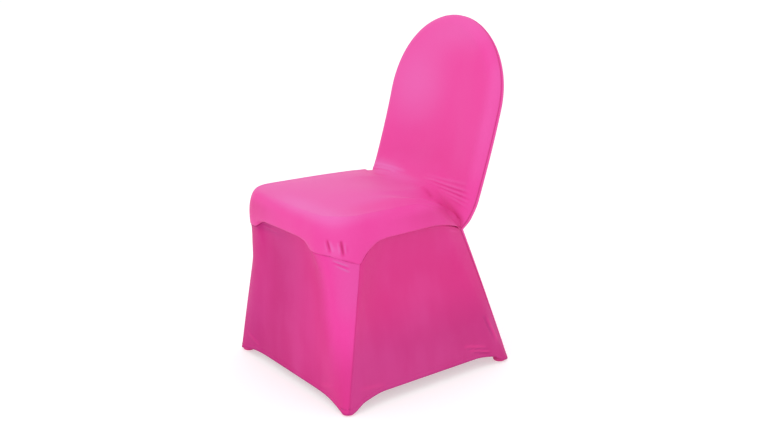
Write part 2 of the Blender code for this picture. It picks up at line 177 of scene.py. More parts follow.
# Soft hollow between seat and inside back: reach, the shares of the half width between which that
# fades to the sides, and how far it spreads up and down
FILLET_REACH = 0.034
FILLET_FADE = 0.30
FILLET_END = 0.97
FILLET_SPREAD = 2.4 * FILLET_REACH

# Foot pockets: radius and height of the outside, bottom to rim
POCKET_PROFILE = (
    (0.0, 0.0),
    (0.0125, 0.0001),
    (0.0152, 0.001),
    (0.017, 0.004),
    (0.0182, 0.009),
    (0.019, 0.0185),
)
POCKET_SIDES = 96
POCKET_ROWS = 10
POCKET_PLEAT = 0.0004
POCKET_PLEATS = 9
PLEAT_RISE = 0.010

# Stations across: 0 in the middle, at the ridge seam, where the back's edge turns, at the junction
RIDGE = 10.0
EDGE = 18.0
JUNCTION = 22.0
DENSE = 3001

# Grids: (value, cells up to it) along each panel. The seat and both faces of the back share ACROSS
ACROSS = ((0.0, 0), (6.0, 34), (RIDGE, 46), (EDGE, 48), (JUNCTION, 22))
SEAT_UP = ((0.0, 0), (0.15, 5), (1.0, 10), (2.0, 28), (2.9, 72), (2.98, 14), (3.0, 12))
INSIDE_UP = ((0.0, 0), (0.02, 10), (0.08, 10), (0.3, 32), (1.0, 44))
OUTSIDE_UP = ((0.0, 0), (1.0, 44))
ARCH_UP = ((0.0, 0), (1.0, 56))
REAR_UP = ((0.0, 0), (0.012, 5), (0.05, 10), (1.0, 42))
FRONT_ACROSS = ((0.0, 0), (6.0, 36), (9.7, 40), (RIDGE, 8))
SIDE_ACROSS = ((RIDGE, 0), (10.4, 8), (EDGE, 70), (21.6, 30), (JUNCTION, 6))
SKIRT_UP = ((0.0, 0), (0.012, 5), (0.05, 10), (0.9, 74), (0.985, 20), (1.0, 6))

# The cut panels are smaller than the worn ones by this ratio
STRETCH = 1.08

# Points that a fold's line is laid in, how far off its panel it may lie, power of its tapered ends
FOLD_STEPS = 9
FOLD_OFF = 0.025
FOLD_TAPER = 0.6
# More than any distance on the cover that counts
FAR = 1.0

# Relief along the cloth's edges: depth, half width
SEAM_DIP = 0.0010
SEAM_WIDTH = 0.0020
SEAM_ROLL = 0.0006
SEAM_ROLL_PLACE = 0.0042
HEM_BAND = 0.013
BAND_TOP = 0.8 * HEM_BAND
BAND_FALL = 0.4 * HEM_BAND
HEM_RAISE = 0.0005
HEM_STITCH = 0.0007
STITCH_WIDTH = 0.0016
HEM_EDGE = 0.0028

# At the seat's front corners the seam lies flatter: corner, reach, lowest height, share taken off
CORNER_PLACE = (0.215, 0.255, 0.0)
CORNER_REACH = 0.050
CORNER_LOWEST = 0.30
CORNER_FLATTER = 0.75

# Colour steps: fold height that counts as one step of painted highlight on ridges and painted shade in
# troughs, the painted shadow at the hem's edge, and the darker seams of the back's two faces
FOLD_SHADE = 0.0032
HEM_SHADE = 1.2
INSIDE_SEAM_TINT = -1.5
OUTSIDE_SEAM_TINT = -1.0

# Folds, as soft ridges (height over 0) and troughs (under 0). Columns: X, Y, Z of the start, X, Y,
# Z of the end, half width, height
SEAT_FOLDS = (
    (0.1893, -0.2765, 0.431, 0.1955, -0.2695, 0.396, 0.0034, -0.0046),
    (0.1855, -0.279, 0.428, 0.1915, -0.273, 0.4, 0.0035, 0.0013),
    (0.195, -0.2725, 0.429, 0.201, -0.265, 0.399, 0.004, 0.0016),
    (0.2128, -0.2518, 0.43, 0.216, -0.2455, 0.388, 0.0038, -0.0056),
    (0.209, -0.256, 0.427, 0.212, -0.251, 0.395, 0.0038, 0.0015),
    (0.2165, -0.246, 0.426, 0.2185, -0.2415, 0.393, 0.0036, 0.0016),
    (0.2208, -0.239, 0.417, 0.221, -0.2375, 0.396, 0.0022, -0.0018),
    (-0.189, -0.2768, 0.429, -0.194, -0.271, 0.398, 0.0024, -0.0026),
    (-0.1935, -0.2735, 0.427, -0.199, -0.267, 0.398, 0.004, 0.0014),
    (-0.209, -0.256, 0.428, -0.2125, -0.2505, 0.395, 0.0022, -0.003),
    (-0.216, -0.2465, 0.422, -0.218, -0.2425, 0.395, 0.0024, -0.002),
    (0.07, 0.11, 0.482, 0.15, 0.09, 0.468, 0.008, -0.0018),
    (0.12, 0.1, 0.469, 0.19, 0.07, 0.46, 0.007, 0.0016),
    (0.15, 0.108, 0.456, 0.208, 0.072, 0.44, 0.006, -0.0014),
    (-0.08, 0.108, 0.481, -0.16, 0.08, 0.468, 0.009, -0.0007),
    (-0.13, 0.102, 0.466, -0.2, 0.065, 0.452, 0.007, 0.0014),
)
INSIDE_FOLDS = (
    (0.03, 0.142, 0.506, 0.205, 0.148, 0.508, 0.0045, 0.0013),
    (0.035, 0.138, 0.497, 0.215, 0.15, 0.49, 0.0036, 0.0017),
    (0.06, 0.136, 0.493, 0.21, 0.148, 0.483, 0.0026, -0.0014),
    (0.07, 0.134, 0.488, 0.218, 0.152, 0.475, 0.0034, 0.0016),
    (0.1, 0.133, 0.483, 0.217, 0.152, 0.467, 0.0024, -0.0013),
    (0.115, 0.132, 0.479, 0.216, 0.152, 0.46, 0.0032, 0.0014),
    (0.145, 0.131, 0.468, 0.213, 0.15, 0.448, 0.003, 0.0012),
    (-0.04, 0.14, 0.5, -0.21, 0.15, 0.494, 0.0042, 0.0014),
    (-0.075, 0.135, 0.49, -0.218, 0.152, 0.479, 0.0034, 0.0014),
    (-0.095, 0.134, 0.486, -0.215, 0.15, 0.471, 0.0026, -0.0012),
    (-0.13, 0.132, 0.476, -0.215, 0.151, 0.455, 0.0032, 0.0013),
)
OUTSIDE_FOLDS = (
    (0.195, 0.162, 0.395, 0.06, 0.17, 0.402, 0.006, 0.0012),
    (0.198, 0.16, 0.386, 0.095, 0.168, 0.384, 0.005, -0.0011),
    (0.198, 0.168, 0.37, 0.115, 0.176, 0.352, 0.006, 0.001),
    (-0.196, 0.162, 0.398, -0.085, 0.17, 0.406, 0.0055, 0.0012),
    (-0.198, 0.164, 0.38, -0.105, 0.172, 0.372, 0.0055, -0.001),
    (0.235, 0.26, 0.06, 0.17, 0.276, 0.048, 0.004, 0.001),
    (-0.235, 0.26, 0.064, -0.16, 0.276, 0.05, 0.0042, 0.0011),
)
FRONT_FOLDS = (
    (0.196, -0.266, 0.38, 0.223, -0.235, 0.364, 0.0028, 0.0016),
    (0.198, -0.265, 0.374, 0.224, -0.235, 0.3575, 0.0026, -0.0015),
    (0.202, -0.262, 0.369, 0.226, -0.235, 0.3505, 0.0028, 0.0014),
    (-0.196, -0.266, 0.381, -0.223, -0.235, 0.365, 0.0024, 0.001),
    (-0.2, -0.264, 0.373, -0.224, -0.235, 0.356, 0.0022, -0.0009),
    (0.23, -0.282, 0.07, 0.15, -0.279, 0.042, 0.0045, 0.0011),
    (-0.23, -0.282, 0.068, -0.16, -0.279, 0.042, 0.0045, 0.001),
    (-0.15, -0.272, 0.406, -0.07, -0.274, 0.402, 0.0035, -0.0016),
    (-0.13, -0.274, 0.398, -0.03, -0.276, 0.396, 0.004, 0.001),
)
SIDE_FOLDS = (
    (0.24, 0.118, 0.078, 0.243, 0.196, 0.06, 0.0034, 0.002),
    (0.24, 0.128, 0.07, 0.243, 0.204, 0.051, 0.0026, -0.0016),
    (0.24, 0.136, 0.064, 0.243, 0.208, 0.044, 0.0034, 0.002),
    (0.24, 0.15, 0.054, 0.243, 0.21, 0.038, 0.0026, -0.0016),
    (0.235, 0.202, 0.14, 0.242, 0.238, 0.066, 0.005, 0.0018),
    (0.234, 0.19, 0.15, 0.241, 0.226, 0.078, 0.0045, -0.0014),
    (0.222, 0.08, 0.402, 0.206, 0.118, 0.388, 0.003, 0.001),
    (0.262, -0.238, 0.062, 0.256, -0.15, 0.048, 0.0045, 0.0009),
    (-0.24, 0.11, 0.076, -0.243, 0.198, 0.058, 0.0032, 0.0012),
    (-0.24, 0.135, 0.062, -0.243, 0.206, 0.045, 0.0028, -0.001),
    (-0.235, 0.2, 0.145, -0.242, 0.237, 0.07, 0.005, 0.0016),
    (-0.262, -0.238, 0.064, -0.256, -0.145, 0.048, 0.0045, 0.001),
)

# Broad soft swells and hollows: centre, reach, height
SEAT_SWELLS = (
    ((0.16, -0.13, 0.49), 0.075, -0.0012),
    ((-0.05, -0.2, 0.49), 0.11, 0.0012),
    ((0.06, 0.06, 0.49), 0.07, -0.001),
    ((-0.14, -0.02, 0.49), 0.08, 0.001),
)
INSIDE_SWELLS = (
    ((-0.06, 0.18, 0.58), 0.08, -0.0018),
    ((0.08, 0.175, 0.56), 0.07, -0.0014),
    ((-0.09, 0.23, 0.77), 0.09, 0.0016),
    ((0.1, 0.22, 0.7), 0.07, 0.0012),
)
FRONT_SWELLS = (((-0.09, -0.28, 0.3), 0.09, -0.0014), ((0.06, -0.28, 0.16), 0.09, 0.0012))
SIDE_SWELLS = (((0.23, 0.0, 0.26), 0.1, -0.0014), ((-0.23, 0.02, 0.24), 0.1, -0.0014))
OUTSIDE_SWELLS = (((0.04, 0.26, 0.7), 0.11, 0.0014), ((-0.06, 0.22, 0.24), 0.1, -0.0012))

# Painted light and shade over the crease of seat and inside back, from left to right: a painted
# highlight on the left, painted shade in the crease on the right
CREASE_LIGHT_AND_SHADE = (
    (-0.21, 0.1),
    (-0.15, 0.55),
    (-0.08, 0.6),
    (0.0, 0.42),
    (0.06, 0.15),
    (0.11, -0.25),
    (0.16, -0.75),
    (0.2, -0.85),
    (0.23, -0.6),
)
# How far that painted light and shade reaches up each panel, and how near to crease and seam the relief
# fades out
SEAT_CREASE_REACH = 0.034
INSIDE_CREASE_REACH = 0.013
CREASE_TAPER = 0.012
SEAM_TAPER = 0.004

# Spots of painted light and shade, a painted highlight where the amount is over 0 and painted shade or
# shadow where it is under: centre, reach along each axis, amount
SEAT_SPOTS = (
    ((0.185, -0.085, 0.48), (0.035, 0.11, 0.06), -0.5),
    ((0.222, 0.02, 0.45), (0.03, 0.1, 0.06), -0.5),
    ((0.19, 0.085, 0.45), (0.045, 0.04, 0.06), -0.55),
    ((0.06, -0.262, 0.485), (0.12, 0.03, 0.03), 0.3),
    ((-0.14, -0.3, 0.445), (0.13, 0.04, 0.045), -0.55),
    ((0.19, -0.255, 0.462), (0.05, 0.05, 0.03), 0.35),
    ((0.205, -0.262, 0.4), (0.035, 0.035, 0.022), 0.45),
)
INSIDE_SPOTS = (
    ((-0.1, 0.22, 0.74), (0.14, 0.5, 0.13), 0.6),
    ((0.06, 0.27, 0.89), (0.15, 0.5, 0.06), 0.45),
    ((-0.02, 0.18, 0.56), (0.2, 0.5, 0.05), -0.25),
    ((-0.15, 0.15, 0.494), (0.1, 0.5, 0.026), 0.75),
)
FRONT_SPOTS = (
    ((-0.13, -0.28, 0.395), (0.09, 0.5, 0.012), -0.5),
    ((-0.2, -0.28, 0.2), (0.06, 0.5, 0.25), -0.25),
    ((0.06, -0.28, 0.08), (0.1, 0.5, 0.12), 0.15),
)

# Painted light and shade that comes in by height: painted sheen on the seat's top, a painted highlight
# on the inside back's right edge and high on the front corners, painted shade low on the side skirts,
# and the outside back deeper below the seat. Columns: amount, start, and the rise, or drop, it takes
SEAT_PALE = (0.5, 0.452, 0.034)
EDGE_PALE = (0.42, 0.46, 0.1)
TURNED_PALE = (1.5, 0.0, 0.3)
SIDE_DEEPER = (-0.75, 0.36, -0.26)
OUTSIDE_DEEPER = (-0.55, 0.42, -0.1)

# Even tints, the skirts' partly the knit's deeper colour over the hollow and partly painted shade, and
# the place and reach of the painted highlight on the inside back's right edge
FRONT_DEPTH = -1.60
TURNED_DEPTH = -1.15
SIDE_DEPTH = -0.84
POCKET_DEPTH = -0.90
EDGE_X = 0.212
EDGE_REACH = 0.030

# Front corners' brighter columns, partly the knit lying on the legs and partly a painted highlight: half
# width at foot and top, height between them, reach and power of their glow, its share on the left, and
# the width over which that changes
RIDGE_FOOT = 0.266
RIDGE_TOP = 0.229
RIDGE_HEIGHT = 0.365
CORNER_GLOW = 0.085
GLOW_POWER = 2.6
LEFT_GLOW = 0.3
GLOW_CHANGE = 0.1

# Knit, as linear colours: bright pink is the dye, pale pink is it with painted sheen, shaded pink that
# pale in painted shade, deep and dark pink it in painted shade and, for deep, over the hollow; pale and
# deep pink also make the dye uneven
WHITE = (1.0, 1.0, 1.0)
BRIGHT_PINK = (0.76, 0.044, 0.318)
PALE_PINK = (0.755, 0.122, 0.44)
SHADED_PINK = (0.64, 0.125, 0.4)
DEEP_PINK = (0.62, 0.018, 0.205)
DARK_PINK = (0.44, 0.008, 0.165)
SHEEN_TINT = (1.0, 0.62, 0.82)

# How the cloth takes light, and how the front skirt does
SHEEN = 0.10
SHINE = 0.30
FRONT_SHEEN = 0.03
FRONT_SHINE = 0.15
SHEEN_ROUGHNESS = 0.45
ROUGHNESS = 0.52
PATCH_ROUGHNESS = 0.16

# Knit: a rib's and a course's width, depth and strength of the bump, heights in it
KNIT_RIB = 0.0011
KNIT_COURSE = 0.0009
KNIT_DEPTH = 0.00012
KNIT_STRENGTH = 0.35
RIB_HEIGHT = 0.5
COURSE_HEIGHT = 0.3
FUZZ_HEIGHT = 0.8

# Noise for uneven dye: scales, shares, ranges that count, and how far they shift the colour
PATCH_SCALE = 5.0
STREAK_SCALES = (14.0, 14.0, 3.0)
FUZZ_SCALE = 420.0
PATCH_SHARE = 0.6
STREAK_SHARE = 0.4
DYE_RANGE = (0.38, 0.66)
DYE_PALER = 0.16
FUZZ_RANGE = (0.45, 0.75)
FUZZ_DEEPER = 0.10

# Camera, fitted to the photograph's outline
VIEW_AZIMUTH = 53.993
VIEW_ELEVATION = 14.861
VIEW_DISTANCE = 2.565
VIEW_TARGET = Vector((0.026, -0.001, 0.415))
IMAGE_WIDTH = 760
FOCAL_PIXELS = 962.36
SENSOR = 36.0

# Studio lamps: name, azimuth, elevation, distance, size, power
LAMPS = (
    ("overhead softbox", 20.0, 74.0, 2.8, 2.6, 7.0),
    ("front softbox", 35.0, 32.0, 3.2, 1.8, 9.0),
)
LAMP_TARGET = Vector((0.0, 0.0, 0.45))
WORLD_STRENGTH = 1.03
FLOOR_HALF = 14.0
FLOOR_GREY = (0.6, 0.6, 0.6)
FLOOR_GLOW = 0.48
FLOOR_ROUGHNESS = 0.9


def ease(share):
    """3s^2 - 2s^3 of a share held between 0 and 1, so it rises with level ends."""
    share = np.clip(share, 0.0, 1.0)
    return share * share * (3.0 - 2.0 * share)


def mix(first, last, share):
    """Straight mix: the first at share 0, the last at share 1."""
    return first + (last - first) * share


def paced(table):
    """Values along a line: each row's number of equal cells leads up to its value."""
    runs = [np.array([table[0][0]])]
    for (before, _), (value, cells) in zip(table, table[1:]):
        runs.append(np.linspace(before, value, cells + 1)[1:])
    return np.concatenate(runs)


def through(x, table):
    """Cubic Hermite curve through a table's points, its slopes the harmonic means of the steps'."""
    xs, ys = np.array(table, float).T
    step = np.diff(xs)
    rise = np.diff(ys) / step
    slope = np.empty_like(ys)
    slope[0], slope[-1] = rise[0], rise[-1]
    product = rise[:-1] * rise[1:]
    total = np.where(product > 0, rise[:-1] + rise[1:], 1.0)
    slope[1:-1] = np.where(product > 0, 2 * product / total, 0.0)
    x = np.clip(x, xs[0], xs[-1])
    k = np.clip(np.searchsorted(xs, x, side="right") - 1, 0, len(xs) - 2)
    t = (x - xs[k]) / step[k]
    before = (1 + 2 * t) * (1 - t) ** 2 * ys[k] + t * (1 - t) ** 2 * step[k] * slope[k]
    after = t * t * (3 - 2 * t) * ys[k + 1] + t * t * (t - 1) * step[k] * slope[k + 1]
    return before + after


def rounded_line(corners, radii, steps=240):
    """Straight runs between plan corners, joined by circular arcs of the given radii."""
    points = [np.array(corners[0], float)[None]]
    for k in range(1, len(corners) - 1):
        before, corner, after = (np.array(c, float) for c in corners[k - 1:k + 2])
        back = (before - corner) / np.linalg.norm(before - corner)
        on = (after - corner) / np.linalg.norm(after - corner)
        half = np.arccos(np.clip(back @ on, -1, 1)) / 2
        middle = (back + on) / np.linalg.norm(back + on)
        centre = corner + middle * radii[k] / np.sin(half)
        first = corner + back * radii[k] / np.tan(half) - centre
        last = corner + on * radii[k] / np.tan(half) - centre
        start = np.arctan2(first[1], first[0])
        turn = (np.arctan2(last[1], last[0]) - start + pi) % (2 * pi) - pi
        angle = start + turn * np.linspace(0, 1, steps)
        points.append(centre + radii[k] * np.stack([np.cos(angle), np.sin(angle)], -1))
    points.append(np.array(corners[-1], float)[None])
    return np.concatenate(points)


def line_length(line):
    """Sum of the lengths of a line's steps."""
    return np.linalg.norm(np.diff(line, axis=0), axis=1).sum()


def along(line, share):
    """Points at shares of a line's length."""
    steps = np.linalg.norm(np.diff(line, axis=0), axis=1)
    length = np.concatenate([[0.0], np.cumsum(steps)])
    return np.stack([np.interp(share * length[-1], length, line[:, k]) for k in range(2)], -1)


def plan_normals(line):
    """A plan line's direction turned a quarter to its right, made one long."""
    run = np.gradient(line, axis=0)
    normal = np.stack([run[:, 1], -run[:, 0]], -1)
    return normal / np.linalg.norm(normal, axis=1)[:, None]


def split_line(line, azimuth):
    """Cut a line where it faces an azimuth: 0 is the front, 90 the right side."""
    normal = plan_normals(line)
    faces = np.degrees(np.arctan2(normal[:, 0], -normal[:, 1]))
    k = int(np.argmax(faces >= azimuth))
    return line[:k + 1], line[k:]


def seat_line():
    """Right half of the seat's widest line in plan, front middle to junction, its front bowed out."""
    corners = [
        (0, SEAT_FRONT),
        (SEAT_HALF, SEAT_FRONT),
        (SEAT_REAR_HALF, TURN_Y),
        (JUNCTION_X, JUNCTION_Y),
    ]
    line = along(rounded_line(corners, [0, CORNER_RADIUS, TURN_RADIUS, 0]), np.linspace(0, 1, DENSE))
    front = line[:, 1] < TURN_Y - TURN_RADIUS
    bow = SEAT_BOW * ease(BOW_RISE * (1 - np.abs(line[:, 0]) / SEAT_HALF)) * front
    return line - np.stack([np.zeros(DENSE), bow], -1)


def foot_lines():
    """Right half of the hem in plan, cut into its front, side and rear runs."""
    corners = [
        (0, FOOT_FRONT_Y),
        (FOOT_FRONT_X, FOOT_FRONT_Y),
        (FOOT_REAR_X, FOOT_REAR_Y),
        (0, FOOT_REAR_Y),
    ]
    line = rounded_line(corners, [0, FOOT_RADIUS, FOOT_RADIUS, 0])
    front, rest = split_line(along(line, np.linspace(0, 1, 2 * DENSE)), FOOT_RIDGE_AZIMUTH)
    return (front, *split_line(rest, REAR_CORNER_AZIMUTH))


class SeatEdge:
    """The seat's widest line, its normals and its lower edge, at stations from 0 to the junction."""

    def __init__(self, station):
        front, side = split_line(seat_line(), RIDGE_AZIMUTH)
        ahead = np.minimum(station / RIDGE, 1.0)
        behind = np.clip((station - RIDGE) / (JUNCTION - RIDGE), 0.0, 1.0)
        on_side = station > RIDGE
        self.plan = np.where(on_side[:, None], along(side, behind), along(front, ahead))
        share = np.linspace(0, 1, DENSE)
        normal = plan_normals(np.concatenate([along(front, share), along(side, share)[1:]]))
        normal[0] = (0, -1)
        place = (ahead + behind) * (DENSE - 1)
        picked = [np.interp(place, np.arange(len(normal)), normal[:, k]) for k in range(2)]
        self.normal = np.stack(picked, -1)
        self.normal /= np.linalg.norm(self.normal, axis=1)[:, None]
        self.side_length = line_length(side)
        self.distance = np.where(on_side, behind * self.side_length, (ahead - 1) * line_length(front))
        stretch = SIDE_EDGE[-1][0] / self.side_length
        runs = ((self.distance * stretch, np.array(SIDE_EDGE)), (-self.distance, np.array(FRONT_EDGE)))
        self.seam_height, self.lip_height, self.inset = (
            np.where(on_side, *(through(place, table[:, [0, k]]) for place, table in runs))
            for k in (1, 2, 3)
        )

    def soft_directions(self):
        """Normals averaged along the edge and its mirror by a Gaussian of the distance."""
        step = np.gradient(self.distance)
        away = self.distance[:, None] - self.distance
        beyond = self.distance[:, None] + self.distance - 2 * self.distance[0]
        own = (np.exp(-(away / PATH_SOFT) ** 2) * step) @ self.normal
        other = (np.exp(-(beyond / PATH_SOFT) ** 2) * step) @ (self.normal * (-1, 1))
        total = own + other
        return total / np.linalg.norm(total, axis=1)[:, None]

    def seam(self):
        """Arched seam between the seat and the skirts, set in from the widest line."""
        return np.column_stack([self.plan - self.normal * self.inset[:, None], self.seam_height])


def across(station):
    """Place across the back: even up to the edge, then one minus a cosine round it to 1."""
    edge_share = BACK_EDGE / BACK_HALF
    angle = (pi / 2) * (1 - np.clip((station - EDGE) / (JUNCTION - EDGE), 0, 1))
    flat = (1 - edge_share) * station / EDGE
    return np.where(station < EDGE, flat, 1 - edge_share * (1 - np.cos(angle)))


def back_half(z):
    """Half width of the back at a height, off the curve through its table."""
    return through(z, BACK_WIDTHS)


def back_middle(z):
    """Place in Y of the middle of the back's depth, off the curve through its table."""
    return through(z, BACK_LEAN)


def back_face(x, z, inward, side, flare):
    """Point on the inside (side -1) or outside (side +1) face of the padded back.

    Depth is a quarter ellipse over the edge width, then level, set square to the leaning middle. The
    inside is dished a little, from above the crease. A flare moves a point to the front.
    """
    rise = 1 - np.clip(inward / BACK_EDGE, 0, 1)
    off = BACK_DEPTH * np.sqrt(np.maximum(1 - rise ** 2, 0))
    if side < 0:
        clear = ease((z - CREASE_Z) / (2 * FLARE_HEIGHT))
        off = off - DISH * ease((inward - DISH_START) / DISH_REACH) * clear
    above = np.minimum(z + SLOPE_STEP, BACK_TOP)
    below = np.maximum(z - SLOPE_STEP, JUNCTION_Z)
    slope = (back_middle(above) - back_middle(below)) / (above - below)
    level = 1 / np.hypot(1, slope)
    return np.stack([x, back_middle(z) + side * off * level - flare, z - side * off * level * slope], -1)


def back_panel(station, side, lowest, up):
    """Right half of a back face: level rows up to the arch, then rows that fan round it."""
    place = across(station)
    share = paced(up)[:, None]
    z = mix(lowest[None], ARCH_Z, share)
    half = back_half(z)
    flare = 0.0
    if side < 0:
        rise = np.clip((z - lowest[None]) / FLARE_HEIGHT, 0, 1)
        flare = FLARE * (1 - rise) ** 2 * (1 - place[None] ** 4)
    straight = back_face(place * half, z, (1 - place) * half, side, flare)
    angle = (pi / 2) * paced(ARCH_UP)[1:, None]
    height = BACK_TOP - ARCH_Z
    x = place * BACK_HALF * np.cos(angle)
    z = ARCH_Z + place * height * np.sin(angle)
    inward = (1 - place) * (BACK_HALF * np.cos(angle) ** 2 + height * np.sin(angle) ** 2)
    return np.concatenate([straight, back_face(x, z, inward, side, 0.0)])


def either(first, second):
    """Soft larger of two shares: 1 - ((1 - a)^-4 + (1 - b)^-4 - 1)^(-1/4)."""
    a, b = (np.maximum(1 - share, WELD) for share in (first, second))
    return 1 - (a ** -4.0 + b ** -4.0 - 1) ** -0.25


def seat_height(plan):
    """Crowned top of the seat: a parabola across times a parabola along."""
    wide = np.clip(1 - (plan[..., 0] / SEAT_HALF) ** 2, 0, 1)
    long = np.clip(1 - ((plan[..., 1] - CROWN_Y) / CROWN_LENGTH) ** 2, 0, 1)
    return SEAT_TOP + SEAT_CROWN * wide * long


def seat_panel(crease_table, reach, fall_start):
    """One half of the seat over rows 0 to 3: under the lip, round its edge, over the top.

    In plan each station is a quadratic curve from the widest line to the crease. In height the
    lower two parts are quarter ellipses and the last follows the crown down to the crease.
    """
    station = paced(ACROSS)
    row = paced(SEAT_UP)[:, None]
    edge = SeatEdge(station)
    place = across(station)
    height = through(place, crease_table)
    half = back_half(height)
    crease = back_face(place * half, height, (1 - place) * half, -1, FLARE * (1 - place ** 4))
    span = np.linalg.norm(crease[:, :2] - edge.plan, axis=1)
    edge_share = np.minimum(EDGE_WIDTH / np.maximum(span, WELD), EDGE_MOST)
    pulled = edge.plan - edge.soft_directions() * (PATH_PULL * span)[:, None]

    under = (pi / 2) * (1 - np.clip(row, 0, 1))
    over = (pi / 2) * np.clip(row - 1, 0, 1)
    top = np.clip(row - 2, 0, 1)
    share = mix(edge_share * (1 - np.cos(over)), 1.0, top)[..., None]
    plan = (1 - share) ** 2 * edge.plan + 2 * share * (1 - share) * pulled + share ** 2 * crease[:, :2]
    plan = plan - edge.normal * (edge.inset * (1 - np.cos(under)) * (row < 1))[..., None]
    start = mix(RIGHT_FALL, fall_start, ease(station / RIDGE))
    end = ease((edge.distance - edge.side_length) / reach + 1)
    fall = either(ease((share[..., 0] - start) / (1 - start)), end)
    crown = mix(seat_height(plan), crease[:, 2], fall)
    below = mix(edge.lip_height, edge.seam_height, np.sin(under))
    above = mix(edge.lip_height, crown, np.sin(over))
    return np.concatenate([plan, np.where(row < 1, below, above)[..., None]], -1)


def pull_profile(up):
    """Cubic times a fall, (1 - u) u^3, so that a skirt is pulled in most high up."""
    return (1 - up) * up ** 3 / PULL_PEAK


def foot_drop(away):
    """How far the hem comes down round a foot: all of it on the foot, none a little beyond."""
    return FOOT_DROP * (1 - ease(away / FOOT_DROP_REACH))


def ruled(plan, height, top, rows):
    """Straight lines from a hem, as plan and height, to a top, and the share up of each row."""
    up = paced(rows)[:, None]
    return mix(np.column_stack([plan, height])[None], top[None], up[..., None]), up


def front_skirt_panel(line):
    """Right half of the front skirt: ruled from the hem to the seam, then pulled in.

    Each row is averaged along itself below the seam, over a reach that fades at the side seam.
    """
    station = paced(FRONT_ACROSS)
    edge = SeatEdge(station)
    length = line_length(line)
    arc = FOOT_RADIUS * radians(FOOT_RIDGE_AZIMUTH)
    share = through(station / RIDGE, ((0, 0), (FRONT_TURN, 1 - arc / length), (1, 1)))
    away = (1 - share) * length
    bottom = along(line, share)
    bottom[:, 1] += HEM_PULL * ease(away / HEM_REACH)
    hem = mix(FOOT_HEM, FRONT_HEM, ease(away / HEM_REACH)) - foot_drop(away - arc)
    grid, up = ruled(bottom, hem, edge.seam(), SKIRT_UP)
    reach = ease((-edge.distance - PULL_START) / PULL_REACH)
    grid[..., :2] -= edge.normal * (SKIRT_PULL * reach * pull_profile(up))[..., None]
    to_ridge = run_lengths(grid, 1)
    to_ridge = to_ridge[:, -1:] - to_ridge
    soft = TAUT_REACH * ease((1 - up) / TAUT_RISE) * ease(to_ridge / TAUT_REACH)
    return averaged(grid, soft)


def side_skirt_panel(line):
    """Right skirt: ruled from hem to seam, pulled in between its ends, its rear bowed back."""
    station = paced(SIDE_ACROSS)
    edge = SeatEdge(station)
    length = line_length(line)
    first = FOOT_RADIUS * radians(90 - FOOT_RIDGE_AZIMUTH) / length
    last = 1 - FOOT_RADIUS * radians(REAR_CORNER_AZIMUTH - 90) / length
    turns = ((0, 0), (SIDE_TURNS[0], first), (SIDE_TURNS[1], last), (1, 1))
    share = through((station - RIDGE) / (JUNCTION - RIDGE), turns)
    free = ease(share * length / HEM_REACH) * ease((1 - share) * length / HEM_REACH)
    bottom = along(line, share)
    bottom[:, 0] -= HEM_PULL * free
    near = np.minimum(share - first, last - share) * length
    hem = mix(FOOT_HEM, SIDE_HEM, free) - foot_drop(near)
    grid, up = ruled(bottom, hem, edge.seam(), SKIRT_UP)
    left = edge.side_length - edge.distance
    pull = SKIRT_PULL * ease(edge.distance / PULL_REACH) * ease(left / PULL_REACH)
    grid[..., :2] -= edge.normal * (pull * pull_profile(up))[..., None]
    grid[..., 1] += REAR_BOW * ease(1 - left / PULL_REACH) * np.sin(pi * up)
    return grid


def rear_skirt_panel(line, top):
    """Lower part of the outside back, hem to junction, ruled and bowed back a little."""
    length = line_length(line)
    arc = FOOT_RADIUS * radians(REAR_CORNER_AZIMUTH - 90) / length
    place = across(paced(ACROSS))
    share = through(place, ((0, 1), (1 - BACK_EDGE / BACK_HALF, arc), (1, 0)))
    bottom = along(line, share)
    hem = mix(FOOT_HEM, REAR_HEM, ease(share * length / HEM_REACH)) - foot_drop((share - arc) * length)
    grid, up = ruled(bottom, hem, top, REAR_UP)
    grid[..., 1] += REAR_BOW * np.sin(pi * up)
    return grid


def averaged(grid, reach):
    """Each point of a row becomes the Gaussian average of the row over the reach given for it."""
    place = run_lengths(grid, 1)
    away = (place[:, :, None] - place[:, None, :]) / np.maximum(reach, WELD)[..., None]
    weight = np.exp(-away ** 2) * np.gradient(place, axis=1)[:, None, :]
    return weight @ grid / weight.sum(-1)[..., None]


def filleted(seat, inside):
    """Seat and inside back drawn into one soft hollow where they meet, tighter to the sides.

    Their rows are joined up each station, averaged over a reach that fades away from the crease,
    and parted again, so that both still end in the same line.
    """
    joined = np.concatenate([seat, inside[1:]])
    lines = np.swapaxes(joined, 0, 1)
    place = run_lengths(lines, 1)
    off = np.abs(place - place[:, [len(seat) - 1]])
    middle = np.abs(joined[len(seat) - 1, :, 0]) / BACK_HALF
    reach = mix(FILLET_REACH, 0.0, ease((middle - FILLET_FADE) / (FILLET_END - FILLET_FADE)))[:, None]
    lines = averaged(lines, reach * np.exp(-(off / FILLET_SPREAD) ** 4))
    joined = np.swapaxes(lines, 0, 1)
    return joined[:len(seat)], joined[len(seat) - 1:]


def mirrored(grid):
    """The other side's grid, its columns turned round so that it still faces out."""
    flipped = grid[:, ::-1].copy()
    flipped[..., 0] *= -1
    return flipped


def whole(grid, other=None):
    """A right half, middle first, with the mirror of itself or of the left half."""
    return np.concatenate([mirrored(grid if other is None else other)[:, :-1], grid], axis=1)


def run_lengths(grid, axis):
    """Length along a grid's lines, from the first line to each point."""
    steps = np.linalg.norm(np.diff(grid, axis=axis), axis=-1)
    start = np.zeros_like(np.take(steps, [0], axis=axis))
    return np.concatenate([start, np.cumsum(steps, axis=axis)], axis=axis)


def edge_distances(grid, edges):
    """Least length along the grid's lines to any of the named edges, or far if there are none."""
    up, on = run_lengths(grid, 0), run_lengths(grid, 1)
    choices = {"low": up, "high": up[-1:] - up, "first": on, "last": on[:, -1:] - on}
    return np.min([choices[name] for name in edges], axis=0) if edges else np.full(up.shape, FAR)


